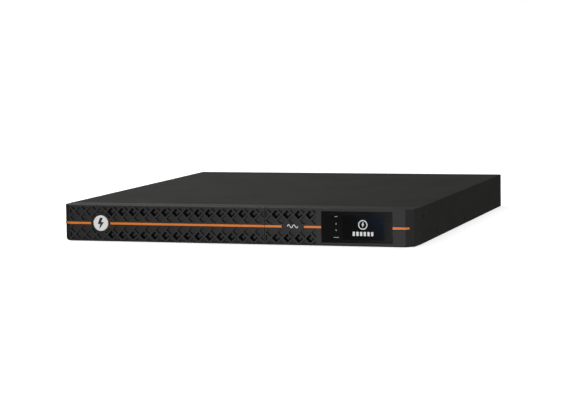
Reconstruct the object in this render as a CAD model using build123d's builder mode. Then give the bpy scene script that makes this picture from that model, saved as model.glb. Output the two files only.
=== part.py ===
from build123d import *
import math
import os

# Rack uninterruptible power supply, one rack unit high, with a battery tray that comes out of the front.
# Millimetres. +X is the viewer's right, +Y runs from the face to the rear and +Z is up.
# The origin is the middle of the bottom face.

# Case
width = 438.0  # across the steel case, between the rack's rails
height = 43.5  # one rack unit less the gap to its neighbour
depth = 492.0  # from the bezel's face to the rear panel
sheet = 1.2  # steel of every folded piece
seam_gap = 0.1  # between steel pieces that lie against each other
plate_recess = 1.0  # front plate behind the edge of the case

# Bezel, in two pieces
bezel_depth = 32.0
skin = 4.6  # front wall of the bezel
wall = 2.0  # its other walls
corner_run = 10.2  # width of the facet at each end
corner_back = 7.3  # depth of that facet
side_taper = 1.7  # the ends close in by this much towards the face
corner_round = 3.5  # lower edge of the battery cover's end
bottom_bevel = 1.2  # lower edge of the face and its facets
top_round = 0.8  # upper edge of them
root = 0.5  # how far inside its wall a boss starts
seam_x = 39.4  # joint between the battery cover and the display bezel
seam_width = 0.5

# Lattice of ribs at 45 degrees
cell = 13.84  # corner to corner across one cell, rib centre to rib centre
rib = 2.2
pocket_depth = 3.8
slot = 2.2  # air slot round three sides of the tongue in an open cell
open_left = 14  # open cells in a row on the battery cover
open_right = 4  # and on the display bezel
lattice_edge = 2.0  # plain border above and below the lattice
lattice_side = 0.9  # plain border at the crease and the seam
lattice_end = 102.2  # right-hand end of the lattice
band_half = 3.2  # plain band along the stripe, above and below its middle

# Stripe, badge and the raised pad that carries the printed mark
stripe_height = 2.6
stripe_proud = 0.8
stripe_inset = 0.8
stripe_gap = 0.5  # groove round the stripe
stripe_left_inset = 1.8  # distance of its outer ends from the sides of the case
stripe_right_inset = 6.2
stripe_left_end = -180.6
stripe_main_start = -155.4
stripe_pad_end = 60.4
stripe_panel_start = 87.6
pad_gap = 0.6
badge_x = -168.2
badge_r = 9.4
badge_proud = 0.4
ring_r = 11.8
ring_depth = 1.6
ring_border = 0.6

# Baffle plates behind the open cells
baffle_back = 7.0
baffle_thick = 1.0
baffle_hole_r = 2.0
baffle_margin = 3.5
baffle_gap = 0.3
vent_baffle_start = 5.6  # from the display bezel's side wall
vent_baffle_end = 1.0  # short of the lattice's end
post_r = 1.5
post_shoulder_r = 3.0
post_gap = 0.1
post_tip = 1.5

# Display
panel_x = 108.5
panel_width = 85.3
panel_height = 36.6
panel_z = 3.8
lens_thick = 2.4
lens_recess = 0.3
lens_gap = 0.15
ledge = 1.5
ledge_thick = 2.3
window_x = 133.5
window_width = 50.1
window_z = 7.6
window_height = 28.2
key_x = 126.3
key_top_z = 34.3
key_pitch = 8.1
key_width = 10.0
key_height = 5.6
key_corner = 1.2
key_gap = 0.25
key_count = 4
key_lip = 0.6
key_lip_thick = 1.0
key_lip_gap = 0.15
key_stem_r = 2.0
key_stem = 1.4
key_travel = 0.4
switch_size = 6.0
switch_body = 3.5
plunger_r = 1.75
plunger = 0.8
module_gap = 0.1
module_border = 1.1
board_thick = 1.6
display_board_border = 6.0
display_board_z = 5.0  # its lower and upper edges, from the case's
boss_r = 3.0
display_boss_inset = 3.2
display_boss_z = 9.0
plate_boss_r = 3.2
plate_boss_inset = 9.0
seam_boss_inset = 2.2
switch_gap = 0.05
screen_recess = 0.4

# Battery tray
battery_width = 94.0
battery_length = 151.0
battery_height = 34.0
battery_gap = 1.0
battery_round = 2.0
block_back_gap = 1.0
lid = 8.0
lid_inset = 0.6
tab = 6.3
tab_thick = 0.8
tab_inset = 12.0
column_gap = 9.0
tray_x = -90.0
channel = 20.0  # wiring channel beside the right-hand blocks
tray_front_gap = 6.0
tray_clearance = 1.0
tray_lip = 4.0
tray_side = 20.0
tray_ear = 8.0
tray_ear_half = 6.5
tray_lift = 0.2
tray_floor_gap = 0.3
tray_front_low = 1.0
tray_front_high = 1.5
tray_back_rise = 6.0
link_thick = 1.2
link_height = 6.0
link_lap = 2.0
guide_floor = 2.0
guide_tall = 15.0
guide_gap = 0.5
guide_foot = 10.0
guide_wall = 4.0
guide_front_gap = 1.0
guide_back_gap = 2.0
roof_gap = 0.3
divider_gap = 7.0
flange = 10.0
handle_length = 70.0
handle_out = 16.0
handle_sheet = 2.0
handle_lug = 6.0
handle_bend = 3.0
handle_height = 12.0
thumb_r = 5.5
thumb_length = 9.0
thumb_shank_r = 1.9
thumb_hole_r = 2.0
thumb_reach = 6.0
thumb_space = 1.0
thumb_gap = 0.1
thumb_chamfer = 0.6
thumb_slot = (6.0, 1.0, 1.5)  # length, width, depth
flute_count = 18
flute_r = 0.45
flute_end = 1.2
peg_r = 2.4
peg_hole_r = 2.5
peg_z = 8.0
peg_left_x = -209.0
peg_seam = 5.2
peg_reach = 7.0
peg_head = 2.0
peg_boss_r = 2.9
peg_head_r = 2.9
plug_width = 18.0
plug_height = 18.0
plug_z = 17.0
plug_front = 9.0
plug_back = 8.0
plug_pitch = 9.0
pin_r = 2.4
pin_bore_r = 2.5
pin_length = 8.0
plug_space = 0.5
plug_round = 1.5
pin_end_gap = 1.0
bay_plug_back = 8.0
bay_plug_lap = 3.0
bay_plug_plate = 2.0
bay_back = 14.0

# Electronics
board_x = (44.0, 210.0)
board_y = (-178.0, 150.0)
standoff = 6.0
standoff_r = 3.0
screw_r = 1.45
screw_hole_r = 1.5
screw_head_r = 2.8
screw_head = 1.9
screw_length = 6.0
screw_clearance_r = 1.6
cross = (3.0, 0.7, 1.0)  # cross recess of a pan head: length, width, depth
flat_cross = (2.6, 0.6, 0.6)  # and of a flat head
flat_head_gap = 0.05
board_inset = 6.0
sink_x = (60.0, 108.0)
sink_y = (-70.0, 70.0)
sink_height = 27.0
sink_base = 4.0
fin = 1.6
fin_count = 8
transistor = (5.0, 15.9, 20.8)
transistor_pitch = 21.0
transistor_count = 6
transistor_rise = 4.0
lead = (0.8, 1.2)
lead_pitch = 5.4
lead_inset = 2.0
capacitor_r = 11.0
capacitor_height = 30.0
capacitor_round = 1.2
capacitor_x = (140.0, 168.0)
capacitor_y = (-140.0, -112.0, -84.0)
core_x = -150.0
core_y = 168.0
core_limb = 16.0  # side limb; the middle limb is twice as wide
core_window = 48.0
core_stack = 22.0
core_z = 10.6
coil_build = 7.0
coil_gap = 0.3
coil_round = 5.0
core_hole_r = 2.0
core_hole_inset = 5.0
core_foot_r = 4.0
vent_x = 80.0  # air slots of the front plate
vent_slot = (26.0, 4.0)
vent_slot_pitch = 8.0
vent_slot_count = 6
cable_window = (24.0, 8.0)

# Rear panel
fan = 40.0
fan_thick = 20.0
fan_bore_r = 19.0
fan_x = (-192.0, -148.0)
fan_hole_pitch = 32.0
fan_blades = 7
fan_tip_gap = 0.6
fan_hub_r = 9.0
fan_shaft_r = 1.5
fan_bearing_gap = 0.05
fan_corner = 3.0
fan_strut = 2.4
fan_strut_thick = 2.5
fan_strut_turns = (30, 120)
fan_end_gap = 1.5
blade = (13.0, 11.0, 1.3)
blade_turn = 38.0
hub_round = 1.0
grille_hole_r = 1.6
grille_pitch = 4.4
grille_r = 17.8
fit = 0.2  # snap-in parts in their cut-outs
card_x = -76.0
card_width = 92.0
card_height = 33.0
card_lap = 5.0
card_lap_z = 2.0
card_screw_inset = 2.4
card_lip = (30.0, 7.8)
card_lip_round = 0.5
serial_x = -8.0
serial_z = 12.5
serial_plate = (30.8, 12.4, 1.0)
serial_back = (19.0, 11.0, 10.0)
serial_hole = (19.4, 10.0)  # cut-out of the rear panel
serial_nose = (16.9, 8.3, 5.0)
serial_nose_angle = 80.0
serial_round = 1.5
contact_pitch = 2.75
contact_row = 1.4
contact_r = 0.6
contact_depth = 8.0
usb_x = -16.0
usb_z = 31.5
usb_size = (12.0, 10.8)
usb_in = 16.0
usb_out = 0.6
usb_mouth = (8.4, 7.8, 9.0)
usb_tongue = (5.6, 3.2)
usb_tongue_back = 1.0
epo_x = 1.0
epo_z = 31.5
epo_size = (11.0, 9.0)
epo_in = 10.0
epo_out = 3.0
epo_pitch = 5.2
epo_mouth = (3.2, 3.2, 8.0)
epo_mouth_drop = 1.8
epo_screw_r = 1.5
epo_screw_rise = 2.3
epo_screw_depth = 1.5
epo_blade = (2.4, 0.6, 0.5)
breaker_x = 22.0
breaker_body_size = (13.0, 26.0, 26.0)
breaker_neck_r = 5.5
breaker_neck_out = 6.0
breaker_nut_r = 8.0
breaker_nut = 2.6
button_bore = 14.0
button_length = 9.0
button_round = 1.0
button_r = 3.15
button_bore_r = 3.2
button_out = 4.0
outlet_x = 52.5
outlet_pitch = 32.5
outlet_count = 4
outlet_body = 27.0
outlet_inside = 24.0
socket_groove = (28.5, 21.0)
socket_island = (23.6, 15.6)
socket_depth = 15.0
socket_round = 3.0
socket_key = 4.0  # cut corners of the earth side
blade_slot = (2.6, 4.8)
blade_pitch = 14.0
blade_rise = 4.0
inlet_x = 186.0
inlet_body = (27.0, 21.0)
inlet_well = (24.8, 16.8)
inlet_depth = 17.0
inlet_inside = 26.0
inlet_blade = (2.0, 4.0)
blade_tab = 7.0
blade_set_back = 2.5
blade_round = 0.6
flange_lap = 2.0
flange_thick = 2.0
stud_x = 208.0
stud_z = 12.0
stud_r = 2.0
stud_out = 12.5
stud_collar = 1.5
stud_collar_r = 3.8
ear_first = 14.0
ear_pitch_y = 32.0
ear_pitch_z = 19.0
ear_tap_r = 1.65  # M4 tapping size
ear_clear_r = 2.3
cover_screw_z = 7.0
cover_screw_end = 80.0

# Worked out from the sizes above
half = width / 2
y_face = -depth / 2
y_case = y_face + bezel_depth
y_rear = depth / 2
z_mid = height / 2
z_roof = height - sheet
pan_half = half - sheet - seam_gap
pan_inner = pan_half - sheet
plate_half = pan_inner - seam_gap
plate_y = (y_case + plate_recess, y_case + plate_recess + sheet)
panel_y = (y_rear - sheet, y_rear)
hole_side = (cell - rib * math.sqrt(2)) / math.sqrt(2)
door_edge = seam_x - seam_width / 2
display_edge = seam_x + seam_width / 2
crease = half - corner_run
tray_width = 2 * (sheet + battery_width) + column_gap + channel
tray_left = tray_x - tray_width / 2
tray_right = tray_x + tray_width / 2
tray_z = sheet + guide_floor + tray_lift
tray_top = tray_z + sheet + battery_height
tray_front_y = (plate_y[0] - seam_gap - sheet, plate_y[0] - seam_gap)
block_y = tray_front_y[1] + tray_front_gap
tray_back = block_y + 2 * battery_length + battery_gap + block_back_gap + sheet
bay_y = tray_back + bay_back
ear_x = tray_width / 2 + tray_lip + tray_ear / 2
divider_x = tray_right + divider_gap
plug_x = tray_right - sheet - channel / 2
peg_right_x = door_edge - peg_seam
lens_y = (y_face + lens_recess, y_face + lens_recess + lens_thick)
lip_y = (lens_y[1] + key_lip_gap, lens_y[1] + key_lip_gap + key_lip_thick)
stem_y = lip_y[1] + key_stem
switch_y = stem_y + key_travel + switch_gap + plunger
display_board_y = (switch_y + switch_body, switch_y + switch_body + board_thick)
board_z = (sheet + standoff, sheet + standoff + board_thick)
post_rows = (-cell / 2, cell / 2)


def front_plane(y):
    """Sketch plane at depth y that faces the viewer: its x is X and its y is Z."""
    return Plane(origin=(0, y, 0), x_dir=(1, 0, 0), z_dir=(0, -1, 0))


def block(x, y, z, mode=Mode.ADD):
    """Box between a pair of limits on each axis, in the part that is open."""
    with Locations((x[0], y[0], z[0])):
        Box(x[1] - x[0], y[1] - y[0], z[1] - z[0], align=Align.MIN, mode=mode)


def rod_y(x, z, y, radius, mode=Mode.ADD):
    """Round bar along Y between the limits y, in the part that is open."""
    with Locations(Location((x, (y[0] + y[1]) / 2, z), (90, 0, 0))):
        Cylinder(radius, y[1] - y[0], mode=mode)


def rod_x(y, z, x, radius, mode=Mode.ADD):
    """Round bar along X between the limits x, in the part that is open."""
    with Locations(Location(((x[0] + x[1]) / 2, y, z), (0, 90, 0))):
        Cylinder(radius, x[1] - x[0], mode=mode)


def rod_z(x, y, z, radius, mode=Mode.ADD):
    """Round bar along Z between the limits z, in the part that is open."""
    with Locations((x, y, (z[0] + z[1]) / 2)):
        Cylinder(radius, z[1] - z[0], mode=mode)


def pan_screw(x, y, z, facing):
    """Pan-head screw in the part that is open: the seat of its head, and the way the head faces."""
    with Locations(Plane(origin=(x, y, z), z_dir=facing).location):
        Cylinder(screw_head_r, screw_head, align=(Align.CENTER, Align.CENTER, Align.MIN))
        Cylinder(screw_r, screw_length, align=(Align.CENTER, Align.CENTER, Align.MAX))
    with Locations(Plane(origin=(x, y, z), z_dir=facing).location * Location((0, 0, screw_head))):
        Box(cross[0], cross[1], 2 * cross[2], mode=Mode.SUBTRACT)
        Box(cross[1], cross[0], 2 * cross[2], mode=Mode.SUBTRACT)


def cell_x(step):
    """X of the cell that is this many cells from the seam."""
    return seam_x + cell * step


def all_cells(first, last):
    """Centres of every cell of the lattice between two steps from the seam."""
    steps = range(first, last + 1)
    whole = [(cell_x(k), z_mid + side * cell) for k in steps for side in (-1, 1)]
    offset_rows = [-1.5 * cell, -0.5 * cell, 0.5 * cell, 1.5 * cell]
    return whole + [(cell_x(k + 0.5), z_mid + row) for k in steps for row in offset_rows]


def air_slots(steps):
    """Cuts the open cells through, all but a tongue that stays joined to the upper right side of each."""
    centres = [(cell_x(k), z_mid + side * cell) for k in steps for side in (-1, 1)]
    shift = (slot + root) / 2 / math.sqrt(2)
    with BuildSketch(front_plane(y_face)) as slots:
        with Locations(*centres):
            Rectangle(hole_side, hole_side, rotation=45)
        with Locations(*[(x + shift, z + shift) for x, z in centres]):
            Rectangle(hole_side - slot + root, hole_side - 2 * slot, rotation=45, mode=Mode.SUBTRACT)
    extrude(slots.sketch, amount=-skin, mode=Mode.SUBTRACT)


def end_points(side, inset, y_front):
    """Plan of one outer end of the bezel, from its rear edge to its face, moved in by inset."""
    return [
        (side * (half - inset), y_case),
        (side * (half - side_taper - inset), y_face + corner_back),
        (side * (crease - inset), y_front),
    ]


# Stripe. It is a moulded strip let into the face, and it goes round the facet at both ends.
with BuildSketch() as strip_plan:
    Polygon(*end_points(-1, 0, y_face), *reversed(end_points(1, 0, y_face)), align=None)
    offset(amount=stripe_proud, kind=Kind.INTERSECTION)
with BuildSketch() as strip_core:
    Polygon(*end_points(-1, 0, y_face), *reversed(end_points(1, 0, y_face)), align=None)
    offset(amount=-stripe_inset, kind=Kind.INTERSECTION)


def stripe(x0, x1, gap=0.0):
    """Piece of the stripe between two places along the bezel, or with a gap the groove that it lies in."""
    with BuildPart() as piece:
        with BuildSketch(Plane.XY.offset(z_mid - stripe_height / 2 - gap)):
            add(strip_plan.sketch)
            add(strip_core.sketch, mode=Mode.SUBTRACT)
            with Locations(((x0 + x1) / 2, y_face)):
                Rectangle(x1 - x0 + 2 * gap, bezel_depth, mode=Mode.INTERSECT)
        extrude(amount=stripe_height + 2 * gap)
    return piece


def grooves(spans):
    """Cuts the stripe's grooves into the bezel that is open."""
    for x0, x1 in spans:
        add(stripe(x0, x1, stripe_gap).part, mode=Mode.SUBTRACT)


door_spans = [(stripe_left_inset - half, stripe_left_end), (stripe_main_start, door_edge)]
display_spans = [
    (display_edge, stripe_pad_end),
    (stripe_panel_start, panel_x - lens_gap),
    (panel_x + panel_width + lens_gap, half - stripe_right_inset),
]

# Post places: closed cells beside the stripe, where the baffles are staked on
door_posts = [(cell_x(k + 0.5), z_mid + row) for k in (-12, -7, -3) for row in post_rows]
vent_posts = [(cell_x(k + 0.5), z_mid + row) for k in (1, 3) for row in post_rows]
pegs = [(x, z) for x in (peg_left_x, peg_right_x) for z in (peg_z, height - peg_z)]


def baffle_posts(places):
    """Moulded posts in the open part, from the skin to the baffle and on through it."""
    for x, z in places:
        rod_y(x, z, (y_face + skin - root, y_face + baffle_back), post_shoulder_r)
        rod_y(x, z, (y_face + baffle_back, y_face + baffle_back + baffle_thick + post_tip), post_r)


def break_edges(bezel):
    """Bevels the lower edge of a bezel's face and facet and rounds the upper one."""
    front = [e for e in bezel.edges() if e.center().Y < y_face + corner_back]
    chamfer([e for e in front if e.center().Z < corner_round and abs(e.tangent_at(0.5).Z) < 0.99],
            length=bottom_bevel)
    upper = bezel.edges().filter_by_position(Axis.Z, height - 0.1, height + 0.1)
    fillet([e for e in upper if e.center().Y < y_face + corner_back], radius=top_round)


def pockets(bezel_steps, field_x, clear=()):
    """Sinks every cell of the lattice between two steps, short of the field's border and the stripe."""
    with BuildSketch(front_plane(y_face)) as cells:
        with Locations(*all_cells(*bezel_steps)):
            Rectangle(hole_side, hole_side, rotation=45)
        with Locations(((field_x[0] + field_x[1]) / 2, z_mid)):
            Rectangle(field_x[1] - field_x[0], height - 2 * lattice_edge, mode=Mode.INTERSECT)
        with Locations((0, z_mid)):
            Rectangle(2 * width, 2 * band_half, mode=Mode.SUBTRACT)
        for x, z, radius in clear:
            with Locations((x, z)):
                Circle(radius, mode=Mode.SUBTRACT)
    extrude(cells.sketch, amount=-pocket_depth, mode=Mode.SUBTRACT)


# Battery cover: the left-hand bezel, which pulls off to reach the tray
with BuildPart() as door_bezel:
    with BuildSketch():
        Polygon(*end_points(-1, 0, y_face), (door_edge, y_face), (door_edge, y_case), align=None)
    extrude(amount=height)
    lower = door_bezel.edges().filter_by_position(Axis.Z, -0.1, 0.1)
    fillet([e for e in lower if e.center().X < side_taper - half], radius=corner_round)
    break_edges(door_bezel)
    inner_edge = door_edge - wall
    with BuildSketch(Plane.XY.offset(wall)):
        inner_end = end_points(-1, wall, y_face + skin)
        Polygon(*inner_end, (inner_edge, y_face + skin), (inner_edge, y_case), align=None)
    extrude(amount=height - 2 * wall, mode=Mode.SUBTRACT)
    for x, z in pegs:
        rod_y(x, z, (y_face + skin - root, y_case - peg_head), peg_boss_r)
    baffle_posts(door_posts)
    pockets((-math.ceil(width / cell), 0), (-crease + lattice_side, door_edge - lattice_side),
            [(badge_x, z_mid, ring_r + ring_border)])
    air_slots(range(-open_left, 0))
    rod_y(badge_x, z_mid, (y_face, y_face + ring_depth), ring_r, Mode.SUBTRACT)
    grooves(door_spans)

# Badge: a plain white disc that stands in a dark ring
with BuildPart() as badge:
    rod_y(badge_x, z_mid, (y_face - badge_proud, y_face + ring_depth), badge_r)
    fillet(badge.edges().sort_by(Axis.Y)[0], radius=badge_proud)


def baffle(x0, x1, posts, steps):
    """Steel plate staked on posts behind the open cells, with air holes that don't line up with them."""
    with BuildPart() as plate:
        block((x0, x1), (y_face + baffle_back, y_face + baffle_back + baffle_thick),
              (baffle_margin, height - baffle_margin))
        through = (y_face + baffle_back, y_face + baffle_back + baffle_thick)
        for x, z in posts:
            rod_y(x, z, through, post_r + post_gap, Mode.SUBTRACT)
        centres = [(cell_x(k + 0.5), z_mid + row) for k in steps for row in post_rows]
        for x, z in centres:
            if (x, z) not in posts:
                rod_y(x, z, through, baffle_hole_r, Mode.SUBTRACT)
    return plate


peg_clear = peg_boss_r + baffle_gap
door_baffle = baffle(max(cell_x(-open_left - 1), peg_left_x + peg_clear), peg_right_x - peg_clear,
                     door_posts, range(-open_left, -1))

# Pegs: four nylon plugs on the cover's bosses that push into the front plate
with BuildPart() as door_pegs:
    for x, z in pegs:
        rod_y(x, z, (y_case - peg_head, y_case), peg_head_r)
        rod_y(x, z, (y_case, y_case + peg_reach), peg_r)
    fillet(door_pegs.edges().group_by(Axis.Y)[-1], radius=peg_r / 3)

# Display bezel: the right-hand piece, which stays on the case
panel_mid_x = panel_x + panel_width / 2
panel_mid_z = panel_z + panel_height / 2
display_bosses = [
    (panel_mid_x + sx * (panel_width / 2 + display_boss_inset), z_mid + sz * (z_mid - display_boss_z))
    for sx in (-1, 1) for sz in (-1, 1)
]
plate_bosses = [(display_edge + wall + seam_boss_inset, z_mid),
                (half - plate_boss_inset, plate_boss_inset),
                (half - plate_boss_inset, height - plate_boss_inset)]
with BuildPart() as display_bezel:
    with BuildSketch():
        Polygon((display_edge, y_case), (display_edge, y_face),
                *reversed(end_points(1, 0, y_face)), align=None)
    extrude(amount=height)
    break_edges(display_bezel)
    inner_start = display_edge + wall
    with BuildSketch(Plane.XY.offset(wall)):
        inner_end = end_points(1, wall, y_face + skin)
        Polygon((inner_start, y_case), (inner_start, y_face + skin), *reversed(inner_end), align=None)
    extrude(amount=height - 2 * wall, mode=Mode.SUBTRACT)
    block((panel_x - ledge, panel_x + panel_width + ledge),
          (y_face + skin - root, lens_y[1] + ledge_thick), (wall - root, height - wall + root))
    for x, z in display_bosses:
        rod_y(x, z, (y_face + skin - root, display_board_y[0]), boss_r)
    for x, z in plate_bosses:
        rod_y(x, z, (y_face + skin - root, plate_y[0]), plate_boss_r)
    baffle_posts(vent_posts)
    pad = (stripe_pad_end + pad_gap, stripe_panel_start - pad_gap)
    block(pad, (y_face - stripe_proud, y_face + root), (z_mid - band_half, z_mid + band_half))
    pockets((0, open_right + 1), (display_edge + lattice_side, lattice_end))
    air_slots(range(1, open_right + 1))
    with BuildSketch(front_plane(y_face)):
        with Locations((panel_mid_x, panel_mid_z)):
            Rectangle(panel_width, panel_height)
    extrude(amount=-(lens_recess + lens_thick), mode=Mode.SUBTRACT)
    with BuildSketch(front_plane(lens_y[1])):
        with Locations((panel_mid_x, panel_mid_z)):
            Rectangle(panel_width - 2 * ledge, panel_height - 2 * ledge)
    extrude(amount=-ledge_thick, mode=Mode.SUBTRACT)
    for x, z in display_bosses:
        rod_y(x, z, (display_board_y[0] - screw_length, display_board_y[0]), screw_hole_r, Mode.SUBTRACT)
    for x, z in plate_bosses:
        rod_y(x, z, (plate_y[0] - screw_length, plate_y[0]), screw_hole_r, Mode.SUBTRACT)
    grooves(display_spans)

vent_baffle = baffle(display_edge + wall + vent_baffle_start, lattice_end - vent_baffle_end, vent_posts,
                     range(0, open_right))

# Display lens: gloss black plastic, open for the window and the keys
keys = [(key_x, key_top_z - key_pitch * k) for k in range(key_count)]
window_mid = (window_x + window_width / 2, window_z + window_height / 2)
with BuildPart() as display_lens:
    with BuildSketch(front_plane(lens_y[1])):
        with Locations((panel_mid_x, panel_mid_z)):
            Rectangle(panel_width - 2 * lens_gap, panel_height - 2 * lens_gap)
        with Locations(window_mid):
            Rectangle(window_width, window_height, mode=Mode.SUBTRACT)
        with Locations(*keys):
            RectangleRounded(key_width + 2 * key_gap, key_height + 2 * key_gap,
                             key_corner + key_gap, mode=Mode.SUBTRACT)
    extrude(amount=lens_thick)

# Display window: the clear pane over the screen, flush with the lens
with BuildPart() as display_window:
    with BuildSketch(front_plane(lens_y[1])):
        with Locations(window_mid):
            Rectangle(window_width, window_height)
    extrude(amount=lens_thick)

# Screen module behind the window
with BuildPart() as lcd_module:
    module_z = (window_z - module_border, window_z + window_height + module_border)
    module_y = (lens_y[1] + module_gap, display_board_y[0])
    block((window_x - module_border, window_x + window_width + module_border), module_y, module_z)
    block((window_x, window_x + window_width), (module_y[0], module_y[0] + screen_recess),
          (window_z, window_z + window_height), Mode.SUBTRACT)

# Display board on four bosses of the bezel
with BuildPart() as display_board:
    board_reach = panel_width / 2 + display_board_border
    block((panel_mid_x - board_reach, panel_mid_x + board_reach), display_board_y,
          (display_board_z, height - display_board_z))
    for x, z in display_bosses:
        rod_y(x, z, display_board_y, screw_clearance_r, Mode.SUBTRACT)

# Key switches on that board
with BuildPart() as key_switches:
    for x, z in keys:
        block((x - switch_size / 2, x + switch_size / 2), (switch_y, switch_y + switch_body),
              (z - switch_size / 2, z + switch_size / 2))
        rod_y(x, z, (switch_y - plunger, switch_y), plunger_r)


def key(x, z):
    """Key cap with a lip behind the lens and a stem that presses its switch."""
    with BuildPart() as cap:
        with BuildSketch(front_plane(lip_y[0])):
            with Locations((x, z)):
                RectangleRounded(key_width, key_height, key_corner)
        extrude(amount=lip_y[0] - lens_y[0])
        with BuildSketch(front_plane(lip_y[1])):
            with Locations((x, z)):
                RectangleRounded(key_width + 2 * key_lip, key_height + 2 * key_lip, key_corner)
        extrude(amount=key_lip_thick)
        rod_y(x, z, (lip_y[1], stem_y), key_stem_r)
    return cap


# Base pan: floor and both side walls, folded from one sheet
ear_y = [y_case + ear_first, y_case + ear_first + ear_pitch_y]
ears = [(y, z_mid + side * ear_pitch_z / 2) for y in ear_y for side in (-1, 1)]
cover_screw_y = [y_case + cover_screw_end, (y_case + y_rear) / 2, y_rear - cover_screw_end / 2]
with BuildPart() as base_pan:
    block((-pan_half, pan_half), (y_case, y_rear), (0, sheet))
    for side in (-1, 1):
        span = sorted((side * pan_half, side * pan_inner))
        block(span, (y_case, y_rear), (0, z_roof - seam_gap))
        for y, z in ears:
            rod_x(y, z, span, ear_tap_r, Mode.SUBTRACT)
        for y in cover_screw_y:
            rod_x(y, cover_screw_z, span, screw_hole_r, Mode.SUBTRACT)

# Cover: the top and both outer sides, folded from one sheet, with sunk holes for its screws
csk_r = screw_r + sheet + flat_head_gap
with BuildPart() as top_cover:
    block((-half, half), (y_case, y_rear), (z_roof, height))
    for side in (-1, 1):
        span = sorted((side * half, side * (half - sheet)))
        block(span, (y_case, y_rear), (0, z_roof))
        for y, z in ears:
            rod_x(y, z, span, ear_clear_r, Mode.SUBTRACT)
        for y in cover_screw_y:
            seat = Plane(origin=(side * half, y, cover_screw_z), z_dir=(side, 0, 0)).location
            with Locations(seat):
                CounterSinkHole(screw_r + fit / 2, csk_r, depth=sheet, counter_sink_angle=90)
    bends = top_cover.edges().filter_by(Axis.Y).filter_by_position(Axis.Z, height - 0.1, height + 0.1)
    fillet(bends, radius=sheet / 2)

with BuildPart() as cover_screws:
    for side in (-1, 1):
        for y in cover_screw_y:
            with Locations(Plane(origin=(side * half, y, cover_screw_z), z_dir=(side, 0, 0)).location):
                Cone(screw_r, screw_r + sheet, sheet, align=(Align.CENTER, Align.CENTER, Align.MAX))
                Cylinder(screw_r, screw_length, align=(Align.CENTER, Align.CENTER, Align.MAX))
            with Locations((side * half, y, cover_screw_z)):
                Box(2 * flat_cross[2], flat_cross[0], flat_cross[1], mode=Mode.SUBTRACT)
                Box(2 * flat_cross[2], flat_cross[1], flat_cross[0], mode=Mode.SUBTRACT)

# Front plate: closes the front of the case around the tray, and carries the display bezel
with BuildPart() as front_plate:
    block((-plate_half, plate_half), plate_y, (sheet, z_roof))
    block((tray_left - tray_clearance, tray_right + tray_clearance), plate_y,
          (tray_z - tray_floor_gap, tray_top + tray_clearance), Mode.SUBTRACT)
    for side in (-1, 1):
        block(sorted((side * plate_half, side * (plate_half - sheet))),
              (plate_y[0], plate_y[1] + flange), (sheet, z_roof - seam_gap))
        for y, z in ears:
            rod_x(y, z, sorted((side * plate_half, side * (plate_half - 2 * sheet))), ear_clear_r,
                  Mode.SUBTRACT)
    for x, z in pegs:
        rod_y(x, z, plate_y, peg_hole_r, Mode.SUBTRACT)
    for side in (-1, 1):
        rod_y(tray_x + side * ear_x, z_mid, plate_y, thumb_hole_r, Mode.SUBTRACT)
    for x, z in plate_bosses:
        rod_y(x, z, plate_y, screw_clearance_r, Mode.SUBTRACT)
    with BuildSketch(front_plane(plate_y[0])):
        with Locations((vent_x, z_mid)):
            with GridLocations(vent_slot_pitch, 1.0, vent_slot_count, 1):
                SlotOverall(*vent_slot, rotation=90)
        with Locations((panel_mid_x, z_mid)):
            Rectangle(*cable_window)
    extrude(amount=-sheet, mode=Mode.SUBTRACT)

# Bay wall: parts the battery bay from the electronics, with a window for the connector
bay_top = z_roof - roof_gap
plug_half = plug_width / 2
plug_span = (plug_z - plug_height / 2, plug_z + plug_height / 2)
with BuildPart() as bay_wall:
    block((divider_x, divider_x + sheet), (plate_y[1] + thumb_reach + thumb_space, bay_y + sheet),
          (sheet, bay_top))
    block((-pan_inner + seam_gap, divider_x + sheet), (bay_y, bay_y + sheet), (sheet, bay_top))
    block((divider_x, divider_x + flange), (plate_y[1] + flange, bay_y + sheet), (sheet, 2 * sheet))
    block((plug_x - plug_half - fit, plug_x + plug_half + fit), (bay_y, bay_y + sheet),
          (plug_span[0] - fit, plug_span[1] + fit), Mode.SUBTRACT)

# Tray guides: two nylon angles that the tray slides on
guide_y = (plate_y[1] + flange + guide_front_gap, bay_y - guide_back_gap)
with BuildPart() as tray_guides:
    for side in (-1, 1):
        inner = tray_x + side * (tray_width / 2 + guide_gap)
        outer = inner + side * guide_wall
        block(sorted((outer, inner - side * guide_foot)), guide_y, (sheet, sheet + guide_floor))
        block(sorted((outer, inner)), guide_y, (sheet, sheet + guide_tall))

# Battery tray: a folded pan whose front plate closes the bay
tray_front_z = (sheet + tray_front_low, z_roof - tray_front_high)
with BuildPart() as tray_pan:
    block((tray_left, tray_right), (tray_front_y[1], tray_back), (tray_z, tray_z + sheet))
    for x in (tray_left, tray_right - sheet):
        block((x, x + sheet), (tray_front_y[1], tray_back), (tray_z, tray_z + tray_side))
    block((tray_left, tray_right), (tray_back - sheet, tray_back),
          (tray_z, tray_z + tray_side + tray_back_rise))
    block((tray_left - tray_lip, tray_right + tray_lip), tray_front_y, tray_front_z)
    ear_reach = tray_width / 2 + tray_lip + tray_ear
    block((tray_x - ear_reach, tray_x + ear_reach), tray_front_y,
          (z_mid - tray_ear_half, z_mid + tray_ear_half))
    for side in (-1, 1):
        rod_y(tray_x + side * ear_x, z_mid, tray_front_y, thumb_hole_r, Mode.SUBTRACT)
        rod_y(tray_x + side * handle_length / 2, z_mid, tray_front_y, screw_hole_r, Mode.SUBTRACT)
    block((plug_x - plug_half - fit, plug_x + plug_half + fit), (tray_back - sheet, tray_back),
          (plug_span[0] - fit, plug_span[1] + fit), Mode.SUBTRACT)

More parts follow.
